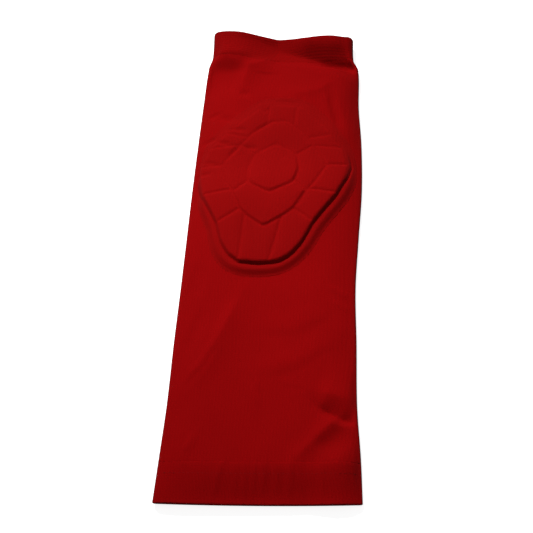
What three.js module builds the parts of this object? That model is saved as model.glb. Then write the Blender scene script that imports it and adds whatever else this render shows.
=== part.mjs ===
// A padded elbow sleeve lying flat: a knitted tube with a band at each end
// and a segmented foam pad over the elbow.
// Millimetres. +Y runs from the wide upper-arm end to the narrow forearm end,
// +X to the right as the sleeve lies, +Z up. The origin is the middle of the underside.
import * as THREE from "three";

// Driving dimensions
const LENGTH = 325; // whole sleeve, end to end
const UPPER_ARM_BAND = 24; // depth of the doubled hem at the wide end
const FOREARM_BAND = 20; // depth of the elastic band at the narrow end
const KNIT_WALL = 1; // one layer of knit
const BAND_WALL = 2; // a band is the knit folded double
const SEAM_GAP = 0.3; // space left between the tube and its bands
const BASE_GAP = 0.42; // space left under the pad's backing
const BLOCK_GAP = 0.36; // space left under the pad's blocks
const LIP = 1.8; // how far the top layer reaches past the bottom one at the wide mouth
const HEM_BOW = 1.6; // how far the wide mouth's corners lie back from its middle
const MOUTH_FADE = 70; // length over which the lip and the bow die away
const RING_STEP = 13; // spacing of the tube's sections
const BASE_THICK = 2.1; // backing of the pad
const FLANGE = 6; // how far the backing shows around the blocks
const GROOVE = 1.5; // width of the grooves between blocks
const CHAMFER = 1.1; // bevel on the upper edges of the blocks
const TILE_HEIGHT = 2; // outer blocks
const COLLAR_HEIGHT = 2.6; // blocks around the core
const CORE_HEIGHT = 3.2; // block in the middle
const SIDE_REACH = 0.96; // the pad stays on this share of the tube's half width
const SIDE_KNEE = 0.93; // share of that reach where the pad's sides begin to draw in
const EDGE_STEP = 6.5; // longest stretch of an outline between two points
const BLOCK_STEP = 3.4; // spacing of the points along a block of a ring
const BLOCK_ACROSS = 3; // steps across such a block
const BASE_RINGS = [0.3, 0.5, 0.65, 0.78, 0.89]; // shares of the outline where the backing bends
const CORE_RINGS = [0.55]; // the same for the core

// Sections of the tube from the wide end. along: distance from that end. left, right: half widths.
// crown: height of the middle. fold: radius of the side folds. tilt: rise of the section to the right.
const SECTIONS = [
  { along: 0, left: 57.6, right: 57.2, crown: 9, fold: 2.7, tilt: 0.05 },
  { along: 26, left: 56.5, right: 55.6, crown: 9, fold: 2.7, tilt: 0.05 },
  { along: 60, left: 55.2, right: 52.7, crown: 8.4, fold: 2.3, tilt: 0.05 },
  { along: 100, left: 54.8, right: 51.4, crown: 8.4, fold: 2.3, tilt: 0.05 },
  { along: 135, left: 54.1, right: 50.0, crown: 8.8, fold: 2.3, tilt: 0.055 },
  { along: 170, left: 53.6, right: 51.0, crown: 9.8, fold: 2.3, tilt: 0.06 },
  { along: 205, left: 53.1, right: 52.2, crown: 10.6, fold: 2.3, tilt: 0.06 },
  { along: 240, left: 52.3, right: 51.2, crown: 10.6, fold: 2.3, tilt: 0.05 },
  { along: 270, left: 51.4, right: 49.4, crown: 10.8, fold: 2.6, tilt: 0.03 },
  { along: 298, left: 50.2, right: 47.8, crown: 12, fold: 3.4, tilt: 0.01 },
  { along: 305, left: 48.8, right: 44.8, crown: 11.6, fold: 4.2, tilt: 0 },
  { along: 325, left: 48.7, right: 43.6, crown: 11.8, fold: 4.8, tilt: 0 },
];

// The V pressed into the narrow end: its place across, its depth, how far it reaches
// to each side and back along the sleeve, and how far it pulls the edge in.
const DENT = { x: -6, depth: 7.2, left: 37, right: 45, back: 58, pull: 3, power: 1.5 };

// Main soft folds of the top layer: middle, direction from +X in degrees,
// half length, half width and rise (a fall where it is negative).
const FOLDS = [
  { x: -26, along: 98, turn: 62, half: 44, wide: 13, rise: 1.3 },
  { x: -43, along: 86, turn: 60, half: 24, wide: 9, rise: -0.9 },
  { x: 28, along: 37, turn: 56, half: 28, wide: 10, rise: 1.1 },
  { x: 42, along: 57, turn: 145, half: 18, wide: 8, rise: -1.0 },
  { x: 20, along: 96, turn: 30, half: 26, wide: 10, rise: 0.9 },
  { x: 36, along: 290, turn: 150, half: 20, wide: 9, rise: 1.2 },
];

// The pad's own axes: right across and forward to the narrow end, from the middle of the core.
// The lying sleeve skews them a little.
const PAD = { x: -3.4, along: 217, skew: 0.08 };

// Right halves of the outlines, from the top middle round to the bottom middle.
const CORE_EDGE = [[0, 17.4], [12.6, 9.5], [15.7, -2], [13.8, -12.8], [0, -20.5]];
const COLLAR_EDGE = [
  [0, 34.3], [5, 34.3], [16, 25.5], [22.5, 16.7], [33, 1.5],
  [26.5, -13], [22, -19.5], [15.5, -32.5], [10, -37.5], [0, -44.3],
];
const PAD_EDGE = [
  [0, 48], [12.5, 46.5], [25.3, 34.5], [34, 25], [42, 15], [46.5, 2], [45.8, -6],
  [40.6, -20.5], [28.8, -40.8], [23.8, -54.5], [18.3, -62.6], [11.5, -67.6], [0, -68.8],
];

// Grooves of the right half, as directions from the core's middle in degrees from +X,
// where each one meets the inner and the outer edge of its ring. sway: how far the lying pad
// turns a groove and its mirror image the same way.
const COLLAR_GROOVES = [
  { inner: 36.5, outer: 36.5, sway: 0 },
  { inner: -39, outer: -41.5, sway: 0 },
];
const TILE_GROOVES = [
  { inner: 74.5, outer: 79.6, sway: 0 },
  { inner: 49.5, outer: 38, sway: 0 },
  { inner: 35, outer: 21.3, sway: 0 },
  { inner: 3, outer: 3.5, sway: 0 },
  { inner: -37, outer: -25.5, sway: 0 },
  { inner: -63, outer: -54.6, sway: 0 },
  { inner: -72.5, outer: -82.4, sway: -2.6 },
];

const FABRIC_ROUGHNESS = 0.85;
const KNIT_RED = new THREE.Color("#8f0b0d");
const PAD_RED = new THREE.Color("#940b0e");
const BAND_RED = new THREE.Color("#820a0c");

// Smooth value of one column of the section table
function sectionValue(column, along) {
  const last = SECTIONS.length - 1;
  let row = 0;
  while (row < last - 1 && along > SECTIONS[row + 1].along) {
    row += 1;
  }
  const start = SECTIONS[row];
  const end = SECTIONS[row + 1];
  const before = SECTIONS[Math.max(row - 1, 0)];
  const after = SECTIONS[Math.min(row + 2, last)];
  const span = end.along - start.along;
  const startSlope = (end[column] - before[column]) / (end.along - before.along);
  const endSlope = (after[column] - start[column]) / (after.along - start.along);
  const t = THREE.MathUtils.clamp((along - start.along) / span, 0, 1);
  const risen = t * t * (3 - 2 * t);
  const startPart = t * (1 - t) * (1 - t) * span * startSlope;
  const endPart = t * t * (t - 1) * span * endSlope;
  return start[column] + (end[column] - start[column]) * risen + startPart + endPart;
}

// A smooth bump, 1 in the middle and 0 beyond 1
function bump(t) {
  return Math.abs(t) < 1 ? (1 - t * t) ** 2 : 0;
}

// How strongly the V acts at a place, from 0 to 1
function dentShare(x, along) {
  const reach = x < DENT.x ? DENT.left : DENT.right;
  const across = Math.max(0, 1 - Math.abs(x - DENT.x) / reach) ** DENT.power;
  const back = THREE.MathUtils.smoothstep(along, LENGTH - DENT.back, LENGTH);
  return across * back;
}

// Sum of the folds' rises at a place on the top layer
function foldRise(x, along) {
  let rise = 0;
  for (const fold of FOLDS) {
    const turn = THREE.MathUtils.degToRad(fold.turn);
    const dx = x - fold.x;
    const dy = along - fold.along;
    const lengthwise = dx * Math.cos(turn) + dy * Math.sin(turn);
    const crosswise = dy * Math.cos(turn) - dx * Math.sin(turn);
    rise += fold.rise * bump(lengthwise / fold.half) * bump(crosswise / fold.wide);
  }
  return rise;
}

// Where the side fold's arc hands over to the top layer, on one side (+1 right, -1 left)
function shoulder(along, side) {
  const half = sectionValue(side > 0 ? "right" : "left", along);
  const fold = sectionValue("fold", along);
  const rise = sectionValue("crown", along) - 2 * fold;
  const angle = Math.atan2(half, 4 * rise);
  return {
    angle,
    fold,
    centre: half - fold,
    x: half - fold + fold * Math.cos(angle),
    z: fold + fold * Math.sin(angle),
  };
}

// Height of the outside of the top layer
function topHeight(x, along) {
  const edge = shoulder(along, x < 0 ? -1 : 1);
  const share = Math.min(Math.abs(x) / edge.x, 1);
  const arch = 1 - share ** 4;
  const crown = sectionValue("crown", along);
  const shape = foldRise(x, along) - DENT.depth * dentShare(x, along);
  return edge.z + arch * (crown - edge.z + shape);
}

// Closed outline of the tube's outside at one section, anticlockwise seen from the wide end
function outerLoop(along) {
  const underSteps = 8;
  const foldSteps = 5;
  const topSteps = 13;
  const right = shoulder(along, 1);
  const left = shoulder(along, -1);
  const loop = [];
  for (let i = 0; i < underSteps; i += 1) {
    loop.push([THREE.MathUtils.lerp(-left.centre, right.centre, i / underSteps), 0]);
  }
  for (let i = 0; i < foldSteps; i += 1) {
    const angle = THREE.MathUtils.lerp(-Math.PI / 2, right.angle, i / foldSteps);
    loop.push([right.centre + right.fold * Math.cos(angle), right.fold + right.fold * Math.sin(angle)]);
  }
  for (let i = 0; i < topSteps; i += 1) {
    const x = DENT.x + (right.x - DENT.x) * Math.cos((i / topSteps) * Math.PI / 2);
    loop.push([x, topHeight(x, along)]);
  }
  for (let i = 0; i < topSteps; i += 1) {
    const x = DENT.x - (left.x + DENT.x) * Math.sin((i / topSteps) * Math.PI / 2);
    loop.push([x, topHeight(x, along)]);
  }
  for (let i = 0; i < foldSteps; i += 1) {
    const angle = THREE.MathUtils.lerp(left.angle, -Math.PI / 2, i / foldSteps);
    loop.push([-left.centre - left.fold * Math.cos(angle), left.fold + left.fold * Math.sin(angle)]);
  }
  return loop;
}

// The same outline moved in by the wall's thickness
function innerLoop(loop, wall) {
  const count = loop.length;
  return loop.map((point, i) => {
    const before = loop[(i + count - 1) % count];
    const after = loop[(i + 1) % count];
    const into = new THREE.Vector2(before[1] - point[1], point[0] - before[0]).normalize();
    into.add(new THREE.Vector2(point[1] - after[1], after[0] - point[0]).normalize());
    const stretch = 2 / into.lengthSq();
    return [point[0] + into.x * stretch * wall, point[1] + into.y * stretch * wall];
  });
}

// A point of a section in space: the section tilts, its top reaches out at the wide mouth,
// where its corners lie back, and the V pulls the narrow end in.
function placed(point, along) {
  const [x, z] = point;
  const lifted = Math.min(z / sectionValue("crown", along), 1);
  const outward = Math.abs(x) / sectionValue(x < 0 ? "left" : "right", along);
  const nearMouth = THREE.MathUtils.smoothstep(MOUTH_FADE - along, 0, MOUTH_FADE);
  const mouth = (HEM_BOW * outward ** 2 - LIP * lifted) * nearMouth;
  const pull = DENT.pull * lifted * dentShare(x, along);
  const y = along - LENGTH / 2 + sectionValue("tilt", along) * x + mouth - pull;
  return [x, y, z];
}

function geometryOf(points, triangles) {
  const geometry = new THREE.BufferGeometry();
  geometry.setAttribute("position", new THREE.Float32BufferAttribute(points.flat(), 3));
  geometry.setIndex(triangles.flat());
  geometry.computeVertexNormals();
  return geometry;
}

// A stretch of the tube as a wall with open ends: outer and inner surfaces and two end rims
function tubeWall(start, end, wall) {
  const steps = Math.max(2, Math.round((end - start) / RING_STEP));
  const rings = [];
  for (let i = 0; i <= steps; i += 1) {
    const along = THREE.MathUtils.lerp(start, end, i / steps);
    const outer = outerLoop(along);
    const inner = innerLoop(outer, wall);
    rings.push({ outer: outer.map((p) => placed(p, along)), inner: inner.map((p) => placed(p, along)) });
  }
  const count = rings[0].outer.length;
  const points = [];
  rings.forEach((ring) => points.push(...ring.outer, ...ring.inner));
  const outerAt = (ring, i) => ring * 2 * count + (i % count);
  const innerAt = (ring, i) => outerAt(ring, i) + count;
  const triangles = [];
  const quad = (a, b, c, d) => triangles.push([a, c, b], [a, d, c]);
  for (let ring = 0; ring < steps; ring += 1) {
    for (let i = 0; i < count; i += 1) {
      quad(outerAt(ring, i), outerAt(ring, i + 1), outerAt(ring + 1, i + 1), outerAt(ring + 1, i));
      quad(innerAt(ring, i + 1), innerAt(ring, i), innerAt(ring + 1, i), innerAt(ring + 1, i + 1));
    }
  }
  for (let i = 0; i < count; i += 1) {
    quad(outerAt(0, i + 1), outerAt(0, i), innerAt(0, i), innerAt(0, i + 1));
    quad(outerAt(steps, i), outerAt(steps, i + 1), innerAt(steps, i + 1), innerAt(steps, i));
  }
  return geometryOf(points, triangles);
}

// A whole outline from its right half
function mirrored(half) {
  const left = half.slice(1, -1).reverse().map(([u, v]) => [-u, v]);
  return [...half, ...left];
}

// The point of an outline that lies in a direction from the core's middle
function edgePoint(outline, degrees) {
  const slack = 1e-9;
  const angle = THREE.MathUtils.degToRad(degrees);
  const ray = new THREE.Vector2(Math.cos(angle), Math.sin(angle));
  let best = null;
  outline.forEach(([au, av], i) => {
    const [bu, bv] = outline[(i + 1) % outline.length];
    const cross = ray.x * (bv - av) - ray.y * (bu - au);
    const reach = (au * (bv - av) - av * (bu - au)) / cross;
    const share = (au * ray.y - av * ray.x) / cross;
    if (reach > 0 && share >= -slack && share <= 1 + slack) {
      best = [ray.x * reach, ray.y * reach];
    }
  });
  return best;
}

// The stretch of an outline between two directions, clockwise from the first
function edgeStretch(outline, from, to) {
  const nearest = 0.5; // a corner this near an end, in degrees, is left out
  const turned = ([u, v]) => THREE.MathUtils.euclideanModulo(
    from - THREE.MathUtils.radToDeg(Math.atan2(v, u)),
    360,
  );
  const span = THREE.MathUtils.euclideanModulo(from - to, 360);
  const between = outline.filter((point) => turned(point) > nearest && turned(point) < span - nearest);
  between.sort((a, b) => turned(a) - turned(b));
  return [edgePoint(outline, from), ...between, edgePoint(outline, to)];
}

// An outline with no stretch longer than the step
function resampled(outline, step) {
  const points = [];
  outline.forEach((start, i) => {
    const end = outline[(i + 1) % outline.length];
    const steps = Math.max(1, Math.ceil(Math.hypot(end[0] - start[0], end[1] - start[1]) / step));
    for (let j = 0; j < steps; j += 1) {
      const t = j / steps;
      points.push([THREE.MathUtils.lerp(start[0], end[0], t), THREE.MathUtils.lerp(start[1], end[1], t)]);
    }
  });
  return points;
}

// A clockwise outline moved in by a distance (out where it is negative)
function inset(outline, distance) {
  const count = outline.length;
  return outline.map((point, i) => {
    const before = outline[(i + count - 1) % count];
    const after = outline[(i + 1) % count];
    const into = new THREE.Vector2(point[1] - before[1], before[0] - point[0]).normalize();
    into.add(new THREE.Vector2(after[1] - point[1], point[0] - after[0]).normalize());
    const stretch = 2 / Math.max(into.lengthSq(), 1);
    return [point[0] + into.x * stretch * distance, point[1] + into.y * stretch * distance];
  });
}

// A place of the pad on the sleeve, lifted above the top layer
function onSleeve([u, v], lift) {
  const along = PAD.along + v;
  const free = PAD.x + u + PAD.skew * v;
  const side = free < 0 ? -1 : 1;
  const reach = SIDE_REACH * shoulder(along, side).x;
  const knee = SIDE_KNEE * reach;
  const past = Math.max(Math.abs(free) - knee, 0);
  const drawn = (reach - knee) * (1 - Math.exp(-past / (reach - knee)));
  const x = side * (Math.min(Math.abs(free), knee) + drawn);
  const y = along - LENGTH / 2 + sectionValue("tilt", along) * x;
  return [x, y, topHeight(x, along) + lift];
}

// A closed block over an outline: its faces follow the sleeve, its upper edges are bevelled
function padBlock(outline, lift, height, bevel, shares) {
  const centre = outline.reduce((sum, [u, v]) => [sum[0] + u, sum[1] + v], [0, 0]);
  const middle = [centre[0] / outline.length, centre[1] / outline.length];
  const shrunk = (ring, share) => ring.map(([u, v]) => [
    THREE.MathUtils.lerp(middle[0], u, share),
    THREE.MathUtils.lerp(middle[1], v, share),
  ]);
  const upper = inset(outline, bevel);
  const rings = [
    ...shares.map((share) => shrunk(outline, share).map((p) => onSleeve(p, lift))),
    outline.map((p) => onSleeve(p, lift)),
    outline.map((p) => onSleeve(p, lift + height - bevel)),
    upper.map((p) => onSleeve(p, lift + height)),
    ...shares.toReversed().map((share) => shrunk(upper, share).map((p) => onSleeve(p, lift + height))),
  ];
  const count = outline.length;
  const points = [...rings.flat(), onSleeve(middle, lift), onSleeve(middle, lift + height)];
  const under = rings.length * count;
  const triangles = [];
  for (let i = 0; i < count; i += 1) {
    const next = (i + 1) % count;
    const top = (rings.length - 1) * count;
    triangles.push([under, i, next], [under + 1, top + next, top + i]);
    for (let ring = 0; ring < rings.length - 1; ring += 1) {
      const low = ring * count;
      const high = low + count;
      triangles.push([low + i, high + i, high + next], [low + i, high + next, low + next]);
    }
  }
  return geometryOf(points, triangles);
}

// Length of an open line
function lineLength(line) {
  return line.slice(1).reduce((sum, [u, v], i) => sum + Math.hypot(u - line[i][0], v - line[i][1]), 0);
}

// The point at a share of an open line's length
function pointAt(line, share) {
  let left = share * lineLength(line);
  let row = 0;
  let step = lineLength(line.slice(0, 2));
  while (row < line.length - 2 && left > step) {
    left -= step;
    row += 1;
    step = lineLength(line.slice(row, row + 2));
  }
  const [au, av] = line[row];
  const [bu, bv] = line[row + 1];
  const t = Math.min(left / step, 1);
  return [THREE.MathUtils.lerp(au, bu, t), THREE.MathUtils.lerp(av, bv, t)];
}

// Rows of points between two lines, kept a margin away from both lines and from their ends
function stripGrid(inner, outer, margin) {
  const { lerp } = THREE.MathUtils;
  const innerLength = lineLength(inner);
  const outerLength = lineLength(outer);
  const steps = Math.ceil(Math.max(innerLength, outerLength) / BLOCK_STEP);
  const rows = [];
  for (let i = 0; i <= steps; i += 1) {
    const row = [];
    for (let j = 0; j <= BLOCK_ACROSS; j += 1) {
      const end = margin / lerp(innerLength, outerLength, j / BLOCK_ACROSS);
      const share = lerp(end, 1 - end, i / steps);
      const [au, av] = pointAt(inner, share);
      const [bu, bv] = pointAt(outer, share);
      const side = margin / Math.hypot(bu - au, bv - av);
      const t = lerp(side, 1 - side, j / BLOCK_ACROSS);
      row.push([lerp(au, bu, t), lerp(av, bv, t)]);
    }
    rows.push(row);
  }
  return rows;
}

// Places of a grid's rim in turn, as row and column
function gridRim(rows) {
  const lastRow = rows.length - 1;
  const lastColumn = rows[0].length - 1;
  const rim = [];
  for (let i = 0; i < lastRow; i += 1) {
    rim.push([i, 0]);
  }
  for (let j = 0; j < lastColumn; j += 1) {
    rim.push([lastRow, j]);
  }
  for (let i = lastRow; i > 0; i -= 1) {
    rim.push([i, lastColumn]);
  }
  for (let j = lastColumn; j > 0; j -= 1) {
    rim.push([0, j]);
  }
  return rim;
}

// A closed block between two grooves of a ring: its faces follow the sleeve, its upper edges are bevelled
function ringBlock(innerEdge, outerEdge, first, second, lift, height) {
  const inner = edgeStretch(innerEdge, first.inner, second.inner);
  const outer = edgeStretch(outerEdge, first.outer, second.outer);
  const foot = stripGrid(inner, outer, GROOVE / 2);
  const top = stripGrid(inner, outer, GROOVE / 2 + CHAMFER);
  const rim = gridRim(foot);
  const columns = foot[0].length;
  const head = foot.length * columns;
  const crown = head + rim.length;
  const points = [
    ...foot.flat().map((p) => onSleeve(p, lift)),
    ...rim.map(([i, j]) => onSleeve(foot[i][j], lift + height - CHAMFER)),
    ...top.flat().map((p) => onSleeve(p, lift + height)),
  ];
  const triangles = [];
  const quad = (a, b, c, d) => triangles.push([a, c, b], [a, d, c]);
  for (let i = 0; i < foot.length - 1; i += 1) {
    for (let j = 0; j < columns - 1; j += 1) {
      const corner = i * columns + j;
      quad(corner, corner + columns, corner + columns + 1, corner + 1);
      quad(crown + corner, crown + corner + 1, crown + corner + columns + 1, crown + corner + columns);
    }
  }
  rim.forEach(([i, j], k) => {
    const next = (k + 1) % rim.length;
    const [m, n] = rim[next];
    quad(i * columns + j, head + k, head + next, m * columns + n);
    quad(head + k, crown + i * columns + j, crown + m * columns + n, head + next);
  });
  return geometryOf(points, triangles);
}

// The right half's grooves, then their mirror images, clockwise from the top
function allGrooves(half) {
  const right = half.map(({ inner, outer, sway }) => ({ inner: inner + sway, outer: outer + sway }));
  const left = half.toReversed().map(({ inner, outer, sway }) => ({
    inner: 180 - inner + sway,
    outer: 180 - outer + sway,
  }));
  return [...right, ...left];
}

function addPiece(group, name, geometry, color) {
  const material = new THREE.MeshStandardMaterial({ color, roughness: FABRIC_ROUGHNESS, metalness: 0 });
  const mesh = new THREE.Mesh(geometry, material);
  mesh.name = name;
  group.add(mesh);
}

function addTube(group) {
  const bodyStart = UPPER_ARM_BAND + SEAM_GAP;
  const bodyEnd = LENGTH - FOREARM_BAND - SEAM_GAP;
  addPiece(group, "upper_arm_band", tubeWall(0, UPPER_ARM_BAND, BAND_WALL), BAND_RED);
  addPiece(group, "sleeve_body", tubeWall(bodyStart, bodyEnd, KNIT_WALL), KNIT_RED);
  addPiece(group, "forearm_band", tubeWall(LENGTH - FOREARM_BAND, LENGTH, BAND_WALL), BAND_RED);
}

function addPad(group) {
  const core = mirrored(CORE_EDGE);
  const collar = mirrored(COLLAR_EDGE);
  const rim = mirrored(PAD_EDGE);
  const blockLift = BASE_GAP + BASE_THICK + BLOCK_GAP;

  const base = inset(resampled(rim, EDGE_STEP), -FLANGE);
  const backing = padBlock(base, BASE_GAP, BASE_THICK, BASE_THICK / 2, BASE_RINGS);
  addPiece(group, "pad_base", backing, PAD_RED);

  const middle = inset(resampled(core, EDGE_STEP), GROOVE / 2);
  addPiece(group, "pad_core", padBlock(middle, blockLift, CORE_HEIGHT, CHAMFER, CORE_RINGS), PAD_RED);

  const collarGrooves = allGrooves(COLLAR_GROOVES);
  ["right", "bottom", "left", "top"].forEach((name, i) => {
    const next = collarGrooves[(i + 1) % collarGrooves.length];
    const block = ringBlock(core, collar, collarGrooves[i], next, blockLift, COLLAR_HEIGHT);
    addPiece(group, `pad_collar_${name}`, block, PAD_RED);
  });

  const tileGrooves = allGrooves(TILE_GROOVES);
  tileGrooves.forEach((first, i) => {
    const next = tileGrooves[(i + 1) % tileGrooves.length];
    const block = ringBlock(collar, rim, first, next, blockLift, TILE_HEIGHT);
    addPiece(group, `pad_tile_${String(i + 1).padStart(2, "0")}`, block, PAD_RED);
  });
}

const sleeve = new THREE.Group();
addTube(sleeve);
addPad(sleeve);

// Sets the origin at the middle of the lying sleeve's underside
const box = new THREE.Box3().setFromObject(sleeve);
const middle = box.getCenter(new THREE.Vector3());
sleeve.position.set(-middle.x, -middle.y, -box.min.z);

export default sleeve;
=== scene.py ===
"""A padded elbow sleeve lying flat on a photo table.

The knitted tube, its two bands and the foam pad are rebuilt in fine detail on the form of the
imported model. Lengths in the tables are millimetres; x runs across the sleeve, along runs from
its wide end, and lift is the height above the tube's top layer.
"""
import math

import bmesh
import bpy
import numpy as np
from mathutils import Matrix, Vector
from mathutils.geometry import delaunay_2d_cdt


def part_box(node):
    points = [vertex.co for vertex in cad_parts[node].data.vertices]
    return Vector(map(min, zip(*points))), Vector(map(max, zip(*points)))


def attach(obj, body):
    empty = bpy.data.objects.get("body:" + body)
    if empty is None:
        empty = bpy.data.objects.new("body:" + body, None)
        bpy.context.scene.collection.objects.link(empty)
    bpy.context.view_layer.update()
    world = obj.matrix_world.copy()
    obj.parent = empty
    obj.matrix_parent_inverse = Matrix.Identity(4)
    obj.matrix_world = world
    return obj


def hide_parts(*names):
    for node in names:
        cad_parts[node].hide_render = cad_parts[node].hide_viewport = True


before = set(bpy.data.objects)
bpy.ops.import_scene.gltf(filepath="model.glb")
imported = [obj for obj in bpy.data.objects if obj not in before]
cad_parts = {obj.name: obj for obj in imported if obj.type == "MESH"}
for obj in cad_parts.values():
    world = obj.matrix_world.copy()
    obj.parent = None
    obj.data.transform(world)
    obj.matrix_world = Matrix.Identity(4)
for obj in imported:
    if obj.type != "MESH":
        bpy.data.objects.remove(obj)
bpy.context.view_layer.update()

# Driving dimensions
MM = 0.001
LENGTH = 325.0  # whole sleeve
UPPER_ARM_BAND = 24.0  # doubled hem at the wide end
FOREARM_BAND = 20.0  # elastic band at the narrow end
SEAM_GAP = 0.02  # between the tube and its bands
SEAM_ROUND = 0.3  # rounding of the hem's edge at its seam
BAND_ROUND = 0.1  # the same for the elastic band, which is sewn on flush
KNIT_WALL = 1.0
HEM_WALL = 1.6
BAND_WALL = 2.0
HEM_STEP = 0.4  # how far the doubled hem stands above the tube
BAND_STEP = 0.01  # the same for the elastic band
HEM_DROP = 4.0  # how far the hem sinks towards the mouth
HEM_PRESS = 0.9  # how much tighter its right side fold is at the mouth
HEM_PRESS_RUN = 40.0  # length over which that dies away
HEM_LEAN = 0.3  # how much more it sinks at its right end, and less at its left one
LIP = 2.2  # how far the top layer reaches past the bottom one at the wide mouth
HEM_BOW = 0.9  # how far the wide mouth's corners lie back
MOUTH_FADE = 70.0  # length over which the lip and the bow die away
BAND_SLANT = 3.0  # how far the elastic band's seam lies further along at its right end
BAND_SLANT_BACK = 3.0  # how far before the seam that is greatest
BAND_SLANT_REACH = 23.0  # half the length over which it dies away
BAND_SLANT_FROM = 5.0  # where it starts across the sleeve, and where it is complete
BAND_SLANT_TO = 42.0

# Sections of the tube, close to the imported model's. left, right: half widths. crown: height of the
# middle. fold: radius of the side folds. tilt: rise of the section to the right.
SECTION_COLUMNS = ("along", "left", "right", "crown", "fold", "tilt")
SECTIONS = np.array([
    (0, 57.6, 57.2, 9.0, 2.7, 0.05),
    (26, 56.5, 55.6, 9.0, 2.7, 0.05),
    (60, 55.2, 52.7, 8.4, 2.3, 0.05),
    (100, 54.8, 51.4, 8.4, 2.3, 0.05),
    (135, 54.1, 50.0, 8.8, 2.3, 0.055),
    (170, 53.6, 51.0, 9.8, 2.3, 0.06),
    (205, 53.1, 52.2, 10.6, 2.3, 0.06),
    (240, 52.3, 51.2, 10.6, 2.3, 0.05),
    (270, 51.4, 48.8, 10.8, 2.6, 0.03),
    (298, 50.2, 47.8, 12.0, 3.4, 0.01),
    (305, 48.3, 44.5, 11.6, 4.2, 0.0),
    (325, 48.7, 43.6, 11.8, 4.8, 0.0),
])

# How the section's height runs out to the side folds: powers of the share of the half width
CROWN_POWER = 4  # of the crown
FOLD_POWER = 24  # of the folds
STANDING_POWER = 6  # of the standing edge
STEP_POWER = 12  # of the bands' step
TILT_ROUNDS = 4  # rounds in which a place's section is found

# The V pressed into the narrow end. x: its bottom. left, right: its reach. back: its length along.
# pull: how far the rim comes back in it. power: how hollow its sides are. blunt: rounding of its
# bottom at the rim, and what is added to that where it dies away.
DENT = {"x": -6.0, "depth": 7.2, "left": 37.0, "right": 45.0, "back": 58.0, "pull": 3.0,
        "power": 1.5, "blunt": 0.03, "blunt_back": 0.4}

# Soft folds of the top layer. path: places (x, along) on the crest, or on the bottom where the
# rise is negative. left, right: half widths on either hand, going along the path. A sharp fold has
# a crease for a crest, the others are round.
FOLD_FADE = 0.3  # share of a fold's length over which it dies away at each end
FOLD_END = 0.25  # share of its rise that is left there
CREST_ROUND = 0.08  # rounding of a sharp crest, as a share of the half width
FOLDS = (
    # long pleat on the left, with the crease at its lower end and the hollow beside it
    {"path": ((-17, 131), (-24, 113), (-30, 97), (-37, 83), (-47, 68)), "left": 14, "right": 9,
     "rise": 1.6, "sharp": True},
    {"path": ((-29, 98), (-36, 83), (-47, 68)), "left": 4, "right": 2.5, "rise": -0.5},
    {"path": ((-38, 123), (-41, 107), (-46, 95), (-51, 86)), "left": 6, "right": 6, "rise": -0.5},
    # two low rolls across the middle
    {"path": ((-8, 80), (6, 82), (17, 86), (26, 93), (39, 101)), "left": 11, "right": 7, "rise": 0.5},
    {"path": ((-9, 107), (14, 108), (27, 115), (36, 122)), "left": 12, "right": 7, "rise": 0.4},
    {"path": ((-5, 75), (-5, 65), (-2, 56)), "left": 3, "right": 5, "rise": 0.25},
    # pinch at the right edge and the pleat that runs from it to the hem
    {"path": ((46, 55), (35, 44), (26, 34), (15, 22)), "left": 10, "right": 9, "rise": 1.1,
     "sharp": True},
    {"path": ((48, 45), (39, 37), (31, 29)), "left": 12, "right": 9, "rise": -1.3},
    {"path": ((28, 67), (42, 64), (60, 60)), "left": 28, "right": 13, "rise": 1.8, "sharp": True},
    {"path": ((29, 58), (36, 54), (44, 50), (60, 48)), "left": 10, "right": 5, "rise": -2.9,
     "sharp": True},
    # low ridge from which the hem falls to its right corner
    {"path": ((44, -16), (44, 10), (43, 38)), "left": 20, "right": 20, "rise": 2.6},
    # slight ones
    {"path": ((-37, 42), (-43, 29)), "left": 5, "right": 3, "rise": 0.4},
    {"path": ((-43, 152), (-46, 127)), "left": 8, "right": 6, "rise": -0.6},
    {"path": ((33, 135), (46, 128)), "left": 3, "right": 3, "rise": 0.3},
    {"path": ((35, 125), (47, 119)), "left": 3, "right": 3, "rise": 0.25},
    # narrow end: on the left the tube dips and rises steeply to the band, and a ridge closes the dip
    {"path": ((-60, 292.5), (-40, 293), (-24, 293)), "left": 10, "right": 26, "rise": -2.6},
    {"path": ((-60, 306.5), (-40, 307), (-20, 309)), "left": 17, "right": 15, "rise": 2.2,
     "sharp": True},
    {"path": ((-29, 275), (-26, 289), (-23, 299), (-13, 304), (-3, 309)), "left": 7, "right": 14,
     "rise": 1.3, "sharp": True},
    # the rim turns up on both sides of the V
    {"path": ((-40, 327), (-22, 327), (-2, 327)), "left": 6, "right": 8, "rise": 1.3},
    # on the right the tube and the band rise together from a crease that ends in a cavity
    {"path": ((-12, 318), (6, 312), (15, 308.5), (25, 304), (40, 299.5), (62, 297)), "left": 16,
     "right": 12, "rise": -4.4, "sharp": True},
    {"path": ((18, 304), (33, 299.5), (60, 298)), "left": 7, "right": 5, "rise": -3.8, "sharp": True},
    # puff before the cavity, and creases between it and the pad
    {"path": ((32, 286), (20, 278), (7, 275)), "left": 6, "right": 12, "rise": 0.6, "sharp": True},
    {"path": ((29, 280), (32, 265), (37, 246)), "left": 5, "right": 4, "rise": -1.0},
    {"path": ((37, 296), (37, 270), (40, 232)), "left": 15, "right": 18, "rise": 1.2},
    {"path": ((-6, 270), (4, 270), (12, 268)), "left": 14, "right": 3.5, "rise": 0.6},
    {"path": ((-28, 276), (-22, 272)), "left": 4, "right": 4, "rise": -0.7},
    {"path": ((-14, 262), (-9, 258)), "left": 3.5, "right": 3.5, "rise": -0.5},
    {"path": ((-42, 257), (-30, 253)), "left": 4, "right": 4, "rise": -0.5},
)
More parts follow.
